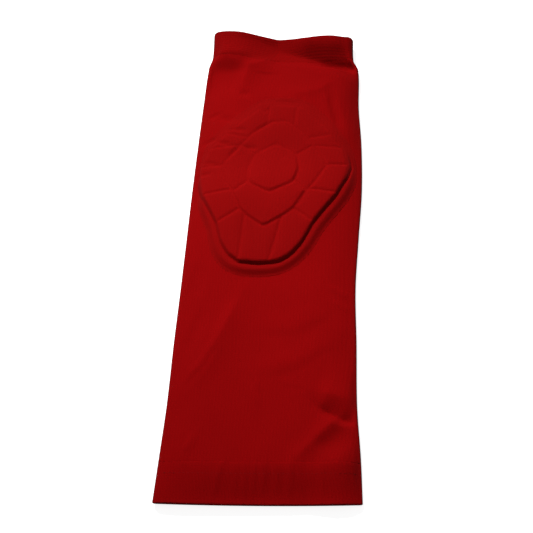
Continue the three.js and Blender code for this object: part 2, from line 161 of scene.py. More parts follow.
# Short wrinkles where the knit is drawn over the pad's upper left edge, by their ends
WRINKLES = (
    ((-50, 237), (-40, 240)),
    ((-40, 237), (-31, 234)),
    ((-33, 246), (-21, 244)),
    ((-48, 256), (-38, 260)),
    ((-47, 223), (-36, 219)),
    ((-49, 213), (-41, 213)),
    ((-22, 232), (-14, 230)),
    ((-33, 224), (-25, 233)),
    ((-17, 243), (-6, 251)),
)
WRINKLE = {"left": 2.6, "right": 2.4, "rise": -0.5}
# The narrow mouth's right half stands up; its edge comes back by a share of its rise
STANDING = {"path": ((2, 328), (22, 328), (44, 328)), "left": 20, "right": 23, "rise": 3.8}
STANDING_PULL = 0.6
STANDING_FOLD = 0.9  # how much wider the right side fold is there
STANDING_FROM = 22.0  # where that starts before the rim, and where it is complete
STANDING_TO = 4.0
# The knit is drawn up over the pad's upper left edge: place, half widths and rise
MOUND = {"x": -12, "along": 243, "across": 52, "length": 46, "rise": 1.4}
LEAST_HEIGHT = 3.2  # of the top layer, so that it stays clear of the bottom one
LEAST_SOFT = 0.3  # how softly the top layer comes down to it
# Waves of slightly uneven cloth: wavelength, direction and phase
SLACK_WAVES = ((61, 0.4, 0.3), (43, 1.3, 1.1), (37, 2.2, 4.0), (29, 0.9, 2.3), (23, 2.7, 5.2))
SLACK_HEIGHT = 0.045
PUCKERS = (-20, -13, -8, -3, 2, 8, 17, 33)  # where the hem is gathered a little, across
PUCKER = {"left": 2.6, "right": 3.4, "rise": 0.28}
PUCKER_ROUTE = ((0, 27), (13, 14), (20, 3))  # how far a pucker leans aside, and its place along
PUCKER_LEAN = 0.12  # the lean goes by steps of this, to either hand

# Pad
PAD_MIDDLE = (-3.0, 55.0)  # in the frame
PAD_REACH = 60.0
PAD_FALL = (0.18, -0.98)  # direction in which the pad stands out more and more
PAD_FALL_FROM = -0.28  # where it starts to, as a share of its reach, and where it stands full
PAD_FALL_TO = 0.38
SUNK = 0.22  # how much of its height the pad keeps at its upper edge, where the knit rises to it
FLANGE = 5.2  # width of the backing that shows around the blocks
BASE_TOP = 2.1  # height of the backing's flat top
BASE_EDGE = 0.12  # height of its thin edge
BASE_UNDER = 0.05  # height of its underside
FLARE = 2.2  # how much wider the backing is at the lower right
FLARE_SIDE = (0.55, -0.83)
FLARE_FROM = 0.1  # where that starts, as a share of the pad's reach, and where it is complete
FLARE_TO = 0.7
FLARE_SLOPE = 0.5  # share of it by which the rim's slope is wider too
FLANGE_SLOPE = 3.6  # width of the backing's sloping rim, and how much wider where the pad is sunk
FLANGE_FADE = 3.0
BACKING_ROUNDS = 40  # how often the backing's corners are rounded
GROOVE = 1.5  # between the blocks' walls
# Heights of the blocks' tops, and how they lean: rise to the right and along for each millimetre
BLOCK_TOPS = {
    "tile": (4.5, 0, 0),
    "collar_top": (5.0, 0.022, -0.012),
    "collar_bottom": (5.2, 0.010, -0.010),
    "collar_left": (4.6, 0, 0),
    "collar_right": (4.5, 0, 0),
    "core": (5.7, 0.014, -0.014),
}
CORE_ROUNDS = 26  # how often the core's corners are rounded
STEP = 0.65  # half the width over which the cover steps from one block to the next
SHOULDER = 1.8  # width of the rounding at a block's edge
GROOVE_DEPTH = 0.50  # depth of the rounding, which is how deep the grooves are
GROOVE_LESS = 0.4  # share of that depth which is lacking where the pad is sunk
GROOVE_FULL = 0.7  # share of its height at which the pad has its full grooves
SWELL = 0.1  # how far the cover swells in the middle of a block
SWELL_REACH = 5.0  # how far from a block's edge it swells
WALL_ROUND = 0.5  # where the outer wall starts inside the blocks' edge, and how far it runs out
WALL_RUN = 0.9
WALL_FADE = 2.5  # how much further it runs out where the pad is sunk
MOAT = 0.7  # depth of the pressed line at the wall's foot, half its width, and how far out it lies
MOAT_HALF = 1.0
MOAT_OUT = 0.3
MOAT_LESS = 0.85  # share of that depth which is lacking where the pad stands at its full height
MOAT_RISE = (0.3, 0.6)  # shares of the pad's height between which the line deepens
MOAT_FALL = (0.8, 1.0)  # and between which it becomes shallow again
BRIM_LINES = (-1.2, -0.6, 0.0, 0.5, 1.0, 1.5, 2.0, 2.5)  # lines of points beside the outer wall
BRIM_ROUNDS = 8  # rounds in which the wall's line is drawn out to the blocks
OUTLINE_GRID = 1.0  # spacing of the points of an outline
COVER_GRID = 0.7  # of the cover's points
UNDER_GRID = 1.0  # of those of its underside
EDGE_GRID = 0.5  # and of those of the line that runs close inside the cover's edge
EDGE_LINE = 0.06  # how far inside it runs
ROW_SHARE = 0.866  # height of an even triangle, as a share of its side
RUB_IN = 1.2  # how far inside a block's edge the cover is rubbed most, and half that line's width
RUB_HALF = 0.9
# The foam pushes the cover out between the grooves
PINNED = 0.6  # how near a groove the cover is bonded fast, and how near the outer wall
WALL_PINNED = 2.0
CLOTH_MASS = 0.001  # of each point, in kilograms
CLOTH_PRESSURE = 22.0
CLOTH_FRAMES = 20
CLOTH_CAP = 0.6  # furthest that a point may move


def column(name, along):
    """Smooth value of one column of the section table."""
    knots = SECTIONS[:, 0]
    values = SECTIONS[:, SECTION_COLUMNS.index(name)]
    slopes = np.empty(len(values))
    slopes[1:-1] = (values[2:] - values[:-2]) / (knots[2:] - knots[:-2])
    slopes[0] = (values[1] - values[0]) / (knots[1] - knots[0])
    slopes[-1] = (values[-1] - values[-2]) / (knots[-1] - knots[-2])
    row = np.clip(np.searchsorted(knots, along, side="right") - 1, 0, len(knots) - 2)
    span = knots[row + 1] - knots[row]
    t = np.clip((along - knots[row]) / span, 0, 1)
    risen = t * t * (3 - 2 * t)
    start_part = t * (1 - t) ** 2 * span * slopes[row]
    end_part = t * t * (t - 1) * span * slopes[row + 1]
    return values[row] + (values[row + 1] - values[row]) * risen + start_part + end_part


def smoothstep(value, low, high):
    t = np.clip((value - low) / (high - low), 0, 1)
    return t * t * (3 - 2 * t)


def bump(t):
    """1 in the middle, 0 beyond 1."""
    return np.where(np.abs(t) < 1, (1 - np.clip(t * t, 0, 1)) ** 2, 0)


def dent_share(x, along):
    reach = np.where(x < DENT["x"], DENT["left"], DENT["right"])
    back = smoothstep(along, LENGTH - DENT["back"], LENGTH)
    blunt = DENT["blunt"] + DENT["blunt_back"] * (1 - back)
    away = np.sqrt(((x - DENT["x"]) / reach) ** 2 + blunt**2) - blunt
    return np.maximum(0, 1 - away) ** DENT["power"] * back


def crease(t):
    """1 in the middle, falling at once to 0 at 1, with only the very crest rounded."""
    return np.clip(1 + CREST_ROUND - np.sqrt(t * t + CREST_ROUND**2), 0, 1) ** 2


def fold_rise(x, along, path, left, right, rise, sharp=False):
    """Rise of one fold: a ridge along a path, which dies away at both ends."""
    points = np.array(path, float)
    steps = np.diff(points, axis=0)
    lengths = np.hypot(steps[:, 0], steps[:, 1])
    whole = lengths.sum()
    nearest = np.full(np.shape(x), np.inf)
    share = np.zeros(np.shape(x))
    hand = np.zeros(np.shape(x))
    passed = 0.0
    for (start_x, start_along), (step_x, step_along), length in zip(points, steps, lengths):
        dx = x - start_x
        dy = along - start_along
        t = np.clip((dx * step_x + dy * step_along) / length**2, 0, 1)
        distance = np.hypot(dx - t * step_x, dy - t * step_along)
        closer = distance < nearest
        nearest = np.where(closer, distance, nearest)
        share = np.where(closer, (passed + t * length) / whole, share)
        hand = np.where(closer, step_x * dy - step_along * dx, hand)
        passed += length
    width = np.where(hand > 0, left, right)
    ends = smoothstep(np.minimum(share, 1 - share), 0, FOLD_FADE)
    across = crease(nearest / width) if sharp else bump(nearest / width)
    return rise * across * (FOLD_END + (1 - FOLD_END) * ends)


def slack(x, along):
    """Slight unevenness of cloth that lies loose."""
    total = np.zeros(np.shape(x))
    for wavelength, turn, phase in SLACK_WAVES:
        way = x * math.cos(turn) + along * math.sin(turn)
        total += np.sin(way * 2 * math.pi / wavelength + phase)
    return SLACK_HEIGHT * total


def all_folds(x, along):
    """Rise of all that the cloth does on the tube's top layer."""
    total = slack(x, along)
    aside = (x - MOUND["x"]) / MOUND["across"]
    ahead = (along - MOUND["along"]) / MOUND["length"]
    total += MOUND["rise"] * np.exp(-2 * (aside**2 + ahead**2))
    for fold in FOLDS:
        total = total + fold_rise(x, along, **fold)
    for path in WRINKLES:
        total = total + fold_rise(x, along, path, **WRINKLE)
    for place in PUCKERS:
        lean = PUCKER_LEAN * (place % 5 - 2)
        path = [(place + aside * lean, there) for aside, there in PUCKER_ROUTE]
        total = total + fold_rise(x, along, path, **PUCKER)
    return total


def shoulder(along, side):
    """Where a side fold's arc hands over to the top layer: angle, radius, centre, distance from the
    middle and height."""
    half = column("right" if side > 0 else "left", along)
    fold = column("fold", along)
    if side > 0:
        fold = fold + STANDING_FOLD * smoothstep(along, LENGTH - STANDING_FROM, LENGTH - STANDING_TO)
        fold = fold - HEM_PRESS * (1 - smoothstep(along, 0, HEM_PRESS_RUN))
    angle = np.arctan2(half, CROWN_POWER * (column("crown", along) - 2 * fold))
    centre = half - fold
    return angle, fold, centre, centre + fold * np.cos(angle), fold + fold * np.sin(angle)


def top_height(x, along):
    """Height of the outside of the top layer."""
    _, _, _, left_x, left_z = shoulder(along, -1)
    _, _, _, right_x, right_z = shoulder(along, 1)
    edge_x = np.where(x < 0, left_x, right_x)
    edge_z = np.where(x < 0, left_z, right_z)
    share = np.minimum(np.abs(x) / edge_x, 1)
    crown = column("crown", along) - DENT["depth"] * dent_share(x, along)
    at_mouth = 1 - smoothstep(along, 0, UPPER_ARM_BAND)
    crown = crown - HEM_DROP * (1 + HEM_LEAN * x / edge_x) * at_mouth
    height = edge_z + (1 - share**CROWN_POWER) * (crown - edge_z)
    height = height + (1 - share**FOLD_POWER) * all_folds(x, along)
    height = height + (1 - share**STANDING_POWER) * fold_rise(x, along, **STANDING)
    above = height - LEAST_HEIGHT
    return 0.5 * (height + LEAST_HEIGHT + np.sqrt(above**2 + LEAST_SOFT))


# Where the tables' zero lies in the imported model's frame
hem_low, hem_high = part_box("upper_arm_band")
SHIFT_X = (hem_low.x + hem_high.x) / 2 / MM + (column("left", 0.0) - column("right", 0.0)) / 2
SHIFT_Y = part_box("forearm_band")[1].y / MM - LENGTH / 2


def place_y(x, z, along):
    """Place of a section's point along the frame's Y."""
    lifted = np.clip(z / column("crown", along), 0, 1)
    outward = np.abs(x) / np.where(x < 0, column("left", along), column("right", along))
    near_mouth = smoothstep(MOUTH_FADE - along, 0, MOUTH_FADE)
    mouth = (HEM_BOW * outward**2 + LIP * (0.5 - lifted)) * near_mouth
    standing = STANDING_PULL * fold_rise(x, along, **STANDING)
    pull = lifted * (DENT["pull"] * dent_share(x, along) + standing)
    near_seam = bump((along - LENGTH + FOREARM_BAND + BAND_SLANT_BACK) / BAND_SLANT_REACH)
    slant = BAND_SLANT * near_seam * smoothstep(x, BAND_SLANT_FROM, BAND_SLANT_TO)
    return along - LENGTH / 2 + column("tilt", along) * x + mouth - pull + slant


def surface_height(points):
    """Height of the top layer under places of the frame, in millimetres."""
    x = points[:, 0] - SHIFT_X
    y = points[:, 1] - SHIFT_Y
    along = y + LENGTH / 2
    for _ in range(TILT_ROUNDS):
        along = y + LENGTH / 2 - column("tilt", along) * x
    return top_height(x, along)


def mesh_piece(name, points, faces, material, rub=None):
    """A piece from points in millimetres of the frame. rub is how worn each point is, 0 to 1."""
    mesh = bpy.data.meshes.new(name)
    mesh.from_pydata((np.asarray(points) * MM).tolist(), [], faces)
    if rub is not None:
        worn = mesh.attributes.new("rub", "FLOAT", "POINT")
        worn.data.foreach_set("value", np.asarray(rub, np.float32))
    work = bmesh.new()
    work.from_mesh(mesh)
    bmesh.ops.recalc_face_normals(work, faces=work.faces)
    work.to_mesh(mesh)
    work.free()
    mesh.shade_smooth()
    mesh.materials.append(material)
    piece = bpy.data.objects.new(name, mesh)
    bpy.context.scene.collection.objects.link(piece)
    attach(piece, "root")
    return piece


# Materials

MATH = "ShaderNodeMath"
STITCH_SLANT = 1.3  # how steeply the legs of a stitch rise
RIB_HEIGHT = 0.5  # of a rib, where a stitch is 1 high
FUZZ_HEIGHT = 0.5  # of single fibres
CLOUD_SIZE = 38.0  # dye takes unevenly over a few centimetres
FIBRE_SIZE = 0.9  # fibres differ from one to the next; real ones are finer and would not show
# How far each of these turns a knit from its deep colour to its bright one
TONE_BASE = -0.08
CLOUD_TONE = 0.5
FIBRE_TONE = 0.3
# the stitches' height: deeper colour in their hollows is painted shade, brighter on the raised yarn
# painted highlight
STITCH_SHADE_TONE = 0.3
RUB_TONE = 0.1
TWIST_PITCH = 0.8  # of the sewing thread; the real 0.5 mm would not show
WAVE_BAND = 2 * math.pi / 10  # width of a diagonal band of Blender's wave texture at scale 1
TABLE_GRAIN = 2.5


def linear(code):
    """Linear colour of an sRGB hex value."""
    channels = [int(code[i:i + 2], 16) / 255 for i in (1, 3, 5)]
    return [c / 12.92 if c <= 0.04045 else ((c + 0.055) / 1.055) ** 2.4 for c in channels] + [1.0]


def node(tree, kind, settings=None, **links):
    """Adds a node. Settings are its own properties; links go to inputs by name, or by number as i0."""
    made = tree.nodes.new(kind)
    for key, value in (settings or {}).items():
        setattr(made, key, value)
    for key, value in links.items():
        place = int(key[1:]) if key[1:].isdigit() else key.replace("_", " ")
        socket = made.inputs[place]
        if isinstance(value, bpy.types.NodeSocket):
            tree.links.new(value, socket)
        else:
            socket.default_value = value
    return made


def knit_loops(tree, wale, course):
    """Height of a jersey's face, 0 to 1: columns of V-shaped stitches. wale, course: their width and
    height in millimetres. Also gives the place that it goes by, whole and as axes."""
    place = node(tree, "ShaderNodeTexCoord").outputs["Object"]
    axes = node(tree, "ShaderNodeSeparateXYZ", i0=place)
    across = node(tree, MATH, {"operation": "ADD"}, i0=axes.outputs["X"], i1=axes.outputs["Z"])
    columns = node(tree, MATH, {"operation": "DIVIDE"}, i0=across.outputs[0], i1=wale * MM)
    rows = node(tree, MATH, {"operation": "DIVIDE"}, i0=axes.outputs["Y"], i1=course * MM)
    beside = node(tree, MATH, {"operation": "PINGPONG"}, i0=columns.outputs[0], i1=0.5)
    slant = node(tree, MATH, {"operation": "MULTIPLY_ADD"}, i0=beside.outputs[0],
                 i1=-STITCH_SLANT, i2=rows.outputs[0])
    leg = node(tree, MATH, {"operation": "PINGPONG"}, i0=slant.outputs[0], i1=0.5)
    rounded = []
    for ramp in (leg, beside):
        turn = node(tree, MATH, {"operation": "MULTIPLY"}, i0=ramp.outputs[0], i1=math.pi)
        rounded.append(node(tree, MATH, {"operation": "SINE"}, i0=turn.outputs[0]).outputs[0])
    both = node(tree, MATH, {"operation": "MULTIPLY"}, i0=rounded[0], i1=rounded[1])
    return place, axes, both.outputs[0]


def knit_surface(name, deep, bright, loops, sheen, rib=None):
    """A red knit. deep, bright: the colour in the hollows and on the raised yarn, which is painted
    shade and highlight of the stitches and ribs. loops: wale, course and depth of the stitches. rib:
    spacing of the ribs across it, if it has any."""
    material = bpy.data.materials.new(name)
    material.use_nodes = True
    tree = material.node_tree
    shader = tree.nodes["Principled BSDF"]
    wale, course, depth = loops
    place, axes, height = knit_loops(tree, wale, course)
    if rib:
        turns = node(tree, MATH, {"operation": "MULTIPLY"}, i0=axes.outputs["Y"],
                     i1=2 * math.pi / (rib * MM))
        wave = node(tree, MATH, {"operation": "SINE"}, i0=turns.outputs[0])
        height = node(tree, MATH, {"operation": "MULTIPLY_ADD"}, i0=wave.outputs[0], i1=RIB_HEIGHT,
                      i2=height).outputs[0]
    cloud = node(tree, "ShaderNodeTexNoise", Vector=place, Scale=1 / (CLOUD_SIZE * MM), Detail=3.0)
    fibre = node(tree, "ShaderNodeTexNoise", Vector=place, Scale=1 / (FIBRE_SIZE * MM), Detail=2.0)
    worn = node(tree, "ShaderNodeAttribute", {"attribute_name": "rub"})
    # The height of the stitches and ribs paints shade into their hollows and highlight on the raised
    # yarn; the dye cloud, the fibres and the rub are the knit's own tone.
    tone = TONE_BASE
    for source, share in ((cloud.outputs["Fac"], CLOUD_TONE), (fibre.outputs["Fac"], FIBRE_TONE),
                          (height, STITCH_SHADE_TONE), (worn.outputs["Fac"], RUB_TONE)):
        added = node(tree, MATH, {"operation": "MULTIPLY_ADD"}, i0=source, i1=share, i2=tone)
        tone = added.outputs[0]
    added.use_clamp = True
    colour = node(tree, "ShaderNodeMix", {"data_type": "RGBA"}, i0=tone, i6=linear(deep),
                  i7=linear(bright))
    tree.links.new(colour.outputs[2], shader.inputs["Base Color"])
    rough = node(tree, "ShaderNodeMapRange", Value=fibre.outputs["Fac"], To_Min=0.82, To_Max=0.98)
    tree.links.new(rough.outputs[0], shader.inputs["Roughness"])
    fuzz = node(tree, MATH, {"operation": "MULTIPLY_ADD"}, i0=fibre.outputs["Fac"], i1=FUZZ_HEIGHT,
                i2=height)
    raised = node(tree, "ShaderNodeBump", Height=fuzz.outputs[0], Strength=0.6, Distance=depth * MM)
    tree.links.new(raised.outputs[0], shader.inputs["Normal"])
    shader.inputs["Specular IOR Level"].default_value = 0.06
    shader.inputs["Specular Tint"].default_value = linear("#c8403c")
    shader.inputs["Sheen Weight"].default_value = sheen
    shader.inputs["Sheen Roughness"].default_value = 0.55
    shader.inputs["Sheen Tint"].default_value = linear("#b01a18")
    return material


def dyed_jersey_knit():
    """Polyester and elastane jersey, circular knitted and piece dyed: matte, nearly no gloss, a faint
    fuzz at grazing angles. Real stitches are 0.6 mm wide, too fine to show, and are drawn coarser."""
    return knit_surface("dyed_jersey_knit", "#8a0608", "#9d080a", loops=(1.9, 1.5, 0.06), sheen=0.05)


def elastic_band_knit():
    """Jersey folded double over elastic: the same yarn packed tighter, with fine ribs across the band
    from the elastic's rows. The ribs are real ones at 1 mm, drawn at 1.7 mm so that they show."""
    return knit_surface("elastic_band_knit", "#840607", "#960809", loops=(1.9, 1.5, 0.08), sheen=0.05,
                        rib=1.7)


def foam_bonded_knit():
    """Jersey bonded over moulded foam: stretched smooth, so the stitches are flatter and the colour is
    a little lighter where they open, most of all along rubbed edges."""
    return knit_surface("foam_bonded_knit", "#860809", "#9a0a0b", loops=(2.0, 1.6, 0.05), sheen=0.05)


def spun_sewing_thread():
    """Spun polyester thread: the cloth's colour, a shade deeper, twisted and a little smoother than
    the knit."""
    material = bpy.data.materials.new("spun_sewing_thread")
    material.use_nodes = True
    tree = material.node_tree
    shader = tree.nodes["Principled BSDF"]
    place = node(tree, "ShaderNodeTexCoord").outputs["Object"]
    twist = node(tree, "ShaderNodeTexWave", {"bands_direction": "DIAGONAL"}, Vector=place,
                 Scale=WAVE_BAND / (TWIST_PITCH * MM))
    # deeper colour in the twist's grooves and brighter on its turns: painted shade and highlight of the
    # twist
    colour = node(tree, "ShaderNodeMix", {"data_type": "RGBA"}, i0=twist.outputs["Fac"],
                  i6=linear("#850709"), i7=linear("#9a0a0b"))
    tree.links.new(colour.outputs[2], shader.inputs["Base Color"])
    raised = node(tree, "ShaderNodeBump", Height=twist.outputs["Fac"], Strength=0.5, Distance=0.05 * MM)
    tree.links.new(raised.outputs[0], shader.inputs["Normal"])
    shader.inputs["Roughness"].default_value = 0.7
    shader.inputs["Specular IOR Level"].default_value = 0.1
    return material


def lit_acrylic_table():
    """Matte white acrylic, cast and lit a little from below as a photo table is: pale, with a soft
    shadow."""
    material = bpy.data.materials.new("lit_acrylic_table")
    material.use_nodes = True
    tree = material.node_tree
    shader = tree.nodes["Principled BSDF"]
    place = node(tree, "ShaderNodeTexCoord").outputs["Object"]
    grain = node(tree, "ShaderNodeTexNoise", Vector=place, Scale=1 / (TABLE_GRAIN * MM), Detail=2.0)
    colour = node(tree, "ShaderNodeMix", {"data_type": "RGBA"}, i0=grain.outputs["Fac"],
                  i6=linear("#f2f2f2"), i7=linear("#fafafa"))
    tree.links.new(colour.outputs[2], shader.inputs["Base Color"])
    shader.inputs["Roughness"].default_value = 0.8
    shader.inputs["Specular IOR Level"].default_value = 0.2
    shader.inputs["Emission Color"].default_value = linear("#ffffff")
    shader.inputs["Emission Strength"].default_value = 0.85
    return material


# Knitted tube and bands

# Points round a section: under it, in each side fold and over its top
UNDER_STEPS = 44
FOLD_STEPS = 9
TOP_STEPS = 108
ROUND_STEPS = 4  # points in a quarter turn at the end of a wall
# Spacing of the sections of each piece, and of those inside a wall
HEM_GRID = 1.0
KNIT_GRID = 1.1
BAND_GRID = 0.8
INSIDE_GRID = 4.0
KNIT_ROUND = 0.06  # rounding of the tube's own ends
RIDGE_RUB = 0.5  # how much the crests of folds are worn
SIDE_RUB = 0.97  # share of the half width from which the side folds are worn
# Lockstitches in the hem: place along, half the row's length, and the thread's sizes
STITCH_ALONG = 17.5
STITCH_HALF = 53
STITCH_PITCH = 2.6
STITCH_LENGTH = 1.9
STITCH_RADIUS = 0.14
STITCH_SUNK = 0.05  # how deep the thread's middle lies under the knit's surface
STITCH_SIDES = 8
STITCH_RINGS = 6
STITCH_BLUNT = 0.06  # share of the stitch at which its ends are cut


def outer_loops(along, rise):
    """Outline of the tube's outside at each section, as arrays of x and height. rise lifts the top
    layer."""
    def spread(low, high, steps):
        return low + (high - low) * np.arange(steps) / steps

    at = along[:, None]
    right_angle, right_fold, right_centre, right_x, _ = shoulder(at, 1)
    left_angle, left_fold, left_centre, left_x, _ = shoulder(at, -1)
    under_x = spread(-left_centre, right_centre, UNDER_STEPS)
    turn = spread(-math.pi / 2, right_angle, FOLD_STEPS)
    back_turn = spread(left_angle, -math.pi / 2, FOLD_STEPS)
    top_x = spread(right_x, -left_x, TOP_STEPS)
    share = np.abs(top_x) / np.maximum(left_x, right_x)
    top_z = top_height(top_x, at) + rise * (1 - share**STEP_POWER)
    x = np.hstack([under_x, right_centre + right_fold * np.cos(turn), top_x,
                   -left_centre - left_fold * np.cos(back_turn)])
    z = np.hstack([np.zeros_like(under_x), right_fold * (1 + np.sin(turn)), top_z,
                   left_fold * (1 + np.sin(back_turn))])
    return x, z


def moved_in(x, z, depth):
    """The outlines moved in by a depth for each section."""
    step_x = np.roll(x, -1, 1) - np.roll(x, 1, 1)
    step_z = np.roll(z, -1, 1) - np.roll(z, 1, 1)
    length = np.hypot(step_x, step_z)
    return x - step_z / length * depth[:, None], z + step_x / length * depth[:, None]


def rounded_end(reach, wall, radius):
    """Half-turn from a wall's outside to its inside at one end, as distance past reach and depth."""
    turn = np.linspace(0, math.pi / 2, ROUND_STEPS + 1)[1:]
    outer = [(reach - radius + radius * math.sin(t), radius - radius * math.cos(t)) for t in turn]
    inner = [(along, wall - depth) for along, depth in reversed(outer)]
    return outer + (inner if wall > 2 * radius else inner[1:])


def wall_profile(start, end, wall, step, start_round, end_round):
    """Closed profile of a wall, as distance along and depth: outside, end, inside, start."""
    outside = np.linspace(start + start_round, end - end_round, int((end - start) / step))
    inside = np.linspace(end - end_round, start + start_round, int((end - start) / INSIDE_GRID))
    profile = [(along, 0) for along in outside]
    profile += rounded_end(end, wall, end_round)
    profile += [(along, wall) for along in inside]
    profile += [(-along, depth) for along, depth in reversed(rounded_end(-start, wall, start_round))]
    return np.array(profile)


def tube_piece(name, profile, rise, material):
    """A wall round the tube. profile: its distance along and depth. rise lifts its top layer."""
    along, depth = profile.T
    x, z = moved_in(*outer_loops(along, rise), depth)
    y = place_y(x, z, along[:, None])
    rings, count = x.shape
    index = np.arange(rings * count).reshape(rings, count)
    after = np.roll(index, -1, 0)
    beside = np.roll(index, -1, 1)
    across = np.roll(after, -1, 1)
    faces = np.stack([index, beside, across, after], -1).reshape(-1, 4).tolist()
    points = np.stack([x + SHIFT_X, y + SHIFT_Y, z], -1).reshape(-1, 3)
    ridge = np.clip(all_folds(x, along[:, None]), 0, 1)
    half = np.where(x < 0, column("left", along)[:, None], column("right", along)[:, None])
    rub = RIDGE_RUB * ridge + smoothstep(np.abs(x) / half, SIDE_RUB, 1.0)
    rub = np.clip(rub, 0, 1).reshape(-1)
    return mesh_piece(name, points, faces, material, rub)


def stitch_row(name, material):
    """A row of lockstitches pressed into the hem, each a short rounded thread."""
    shares = np.linspace(0, 1, STITCH_RINGS)
    girth = np.sin(math.pi * np.clip(shares, STITCH_BLUNT, 1 - STITCH_BLUNT)) ** 0.5 * STITCH_RADIUS
    turn = np.arange(STITCH_SIDES) * 2 * math.pi / STITCH_SIDES
    points = []
    faces = []
    for x_start in np.arange(-STITCH_HALF, STITCH_HALF, STITCH_PITCH):
        x = x_start + STITCH_LENGTH * shares
        along = np.full_like(x, STITCH_ALONG)
        z = top_height(x, along) + HEM_STEP - STITCH_SUNK
        y = place_y(x, z, along) + SHIFT_Y
        base = len(points)
        for i in range(STITCH_RINGS):
            for angle in turn:
                points.append((x[i] + SHIFT_X, y[i] + girth[i] * math.cos(angle),
                               z[i] + girth[i] * math.sin(angle)))
        for i in range(STITCH_RINGS - 1):
            low = base + i * STITCH_SIDES
            for j in range(STITCH_SIDES):
                k = (j + 1) % STITCH_SIDES
                faces.append((low + j, low + k, low + STITCH_SIDES + k, low + STITCH_SIDES + j))
        for ring in (0, STITCH_RINGS - 1):
            faces.append(tuple(base + ring * STITCH_SIDES + j for j in range(STITCH_SIDES)))
    return mesh_piece(name, points, faces, material)


# Pad

DIGITS = 6  # to which two CAD points in metres count as one place


def wall_outline(name):
    """The outline of a CAD block's upright wall, in order, in millimetres of the frame."""
    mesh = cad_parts[name].data
    heights = {}
    spots = []
    for vertex in mesh.vertices:
        spot = (round(vertex.co.x, DIGITS), round(vertex.co.y, DIGITS))
        spots.append(spot)
        heights.setdefault(spot, set()).add(round(vertex.co.z, DIGITS))
    heads = {spot: max(z) for spot, z in heights.items() if len(z) > 1}
    at_head = []
    for spot, vertex in zip(spots, mesh.vertices):
        high = spot in heads and round(vertex.co.z, DIGITS) == heads[spot]
        at_head.append(spot if high else None)
    beside = {}
    for edge in mesh.edges:
        a, b = (at_head[i] for i in edge.vertices)
        if a and b and a != b:
            beside.setdefault(a, set()).add(b)
            beside.setdefault(b, set()).add(a)
    loop = [min(beside)]
    while True:
        ahead = [s for s in sorted(beside[loop[-1]]) if s not in loop[-2:]]
        if len(loop) > 2 and loop[0] in beside[loop[-1]] and len(loop) == len(beside):
            break
        loop.append(ahead[0])
    outline = np.array(loop) / MM
    x, y = outline.T
    area = np.sum(x * np.roll(y, -1) - y * np.roll(x, -1))
    return outline if area > 0 else outline[::-1]


def resampled(outline, step):
    """A closed outline with even spacing."""
    closed = np.vstack([outline, outline[:1]])
    passed = np.concatenate([[0], np.cumsum(np.hypot(*np.diff(closed, axis=0).T))])
    places = np.linspace(0, passed[-1], int(passed[-1] / step), endpoint=False)
    return np.column_stack([np.interp(places, passed, closed[:, axis]) for axis in (0, 1)])


def softened(outline, rounds):
    """A closed outline with its corners rounded."""
    for _ in range(rounds):
        outline = 0.5 * outline + 0.25 * (np.roll(outline, 1, 0) + np.roll(outline, -1, 0))
    return outline


def grown(outline, distance):
    """An anticlockwise outline moved out by one distance, or by one for each point, with its corners
    kept."""
    ahead = np.roll(outline, -1, 0) - outline
    ahead /= np.hypot(ahead[:, 0], ahead[:, 1])[:, None]
    ahead = np.column_stack([ahead[:, 1], -ahead[:, 0]])
    behind = np.roll(ahead, 1, 0)
    spread = np.maximum(1 + np.sum(ahead * behind, 1), 0.5)
    return outline + np.reshape(distance, (-1, 1)) * (ahead + behind) / spread[:, None]


def depth_in(points, outline):
    """How deep each point lies inside an outline, negative outside it."""
    nearest = np.full(len(points), np.inf)
    crossings = np.zeros(len(points), int)
    for start, end in zip(outline, np.roll(outline, -1, 0)):
        step = end - start
        away = points - start
        t = np.clip(away @ step / (step @ step), 0, 1)
        nearest = np.minimum(nearest, np.hypot(*(away - t[:, None] * step).T))
        if step[1] != 0:
            level = (start[1] > points[:, 1]) != (end[1] > points[:, 1])
            crossings += level & (away[:, 0] < away[:, 1] * step[0] / step[1])
    return np.where(crossings % 2 == 1, nearest, -nearest)


def filled(outline, spacing, brim=None):
    """Triangles over an outline, as points and faces: its own points first, then a line close inside
    it, so that smooth shading doesn't darken the edge, then lines beside the brim and an even grid."""
    low = outline.min(0)
    high = outline.max(0)
    xs = np.arange(low[0], high[0], spacing)
    ys = np.arange(low[1], high[1], spacing * ROW_SHARE)
    grid = np.array([(x + spacing * 0.5 * (row % 2), y) for row, y in enumerate(ys) for x in xs])
    grid = grid[depth_in(grid, outline) > 0.5 * spacing]
    rows = [outline, resampled(grown(outline, -EDGE_LINE), EDGE_GRID)]
    if brim is not None:
        past = -depth_in(grid, brim)
        inside = past < BRIM_LINES[0] - 0.5 * spacing
        outside = past > BRIM_LINES[-1] + 0.5 * spacing
        grid = grid[inside | outside]
        rows += [resampled(grown(brim, offset), spacing) for offset in BRIM_LINES]
    places = [Vector(p) for p in np.vstack(rows + [grid])]
    made = delaunay_2d_cdt(places, [], [list(range(len(outline)))], 1, 1e-7)
    return np.array([tuple(p) for p in made[0]]), [tuple(face) for face in made[2]]


def pad_share(flat):
    """How much of its height the pad keeps at a place. Its upper edge sinks into the knit."""
    away = (flat - PAD_MIDDLE) @ np.array(PAD_FALL) / PAD_REACH
    return SUNK + (1 - SUNK) * smoothstep(away, PAD_FALL_FROM, PAD_FALL_TO)


def pad_blocks():
    """Top and outline of each foam block. The outline reaches the middle of the grooves."""
    blocks = []
    for name in sorted(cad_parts):
        for kind, top in BLOCK_TOPS.items():
            if name.startswith("pad_" + kind):
                outline = grown(wall_outline(name), GROOVE / 2)
                if kind == "core":
                    outline = softened(resampled(outline, OUTLINE_GRID), CORE_ROUNDS)
                blocks.append((top, outline))
    return blocks


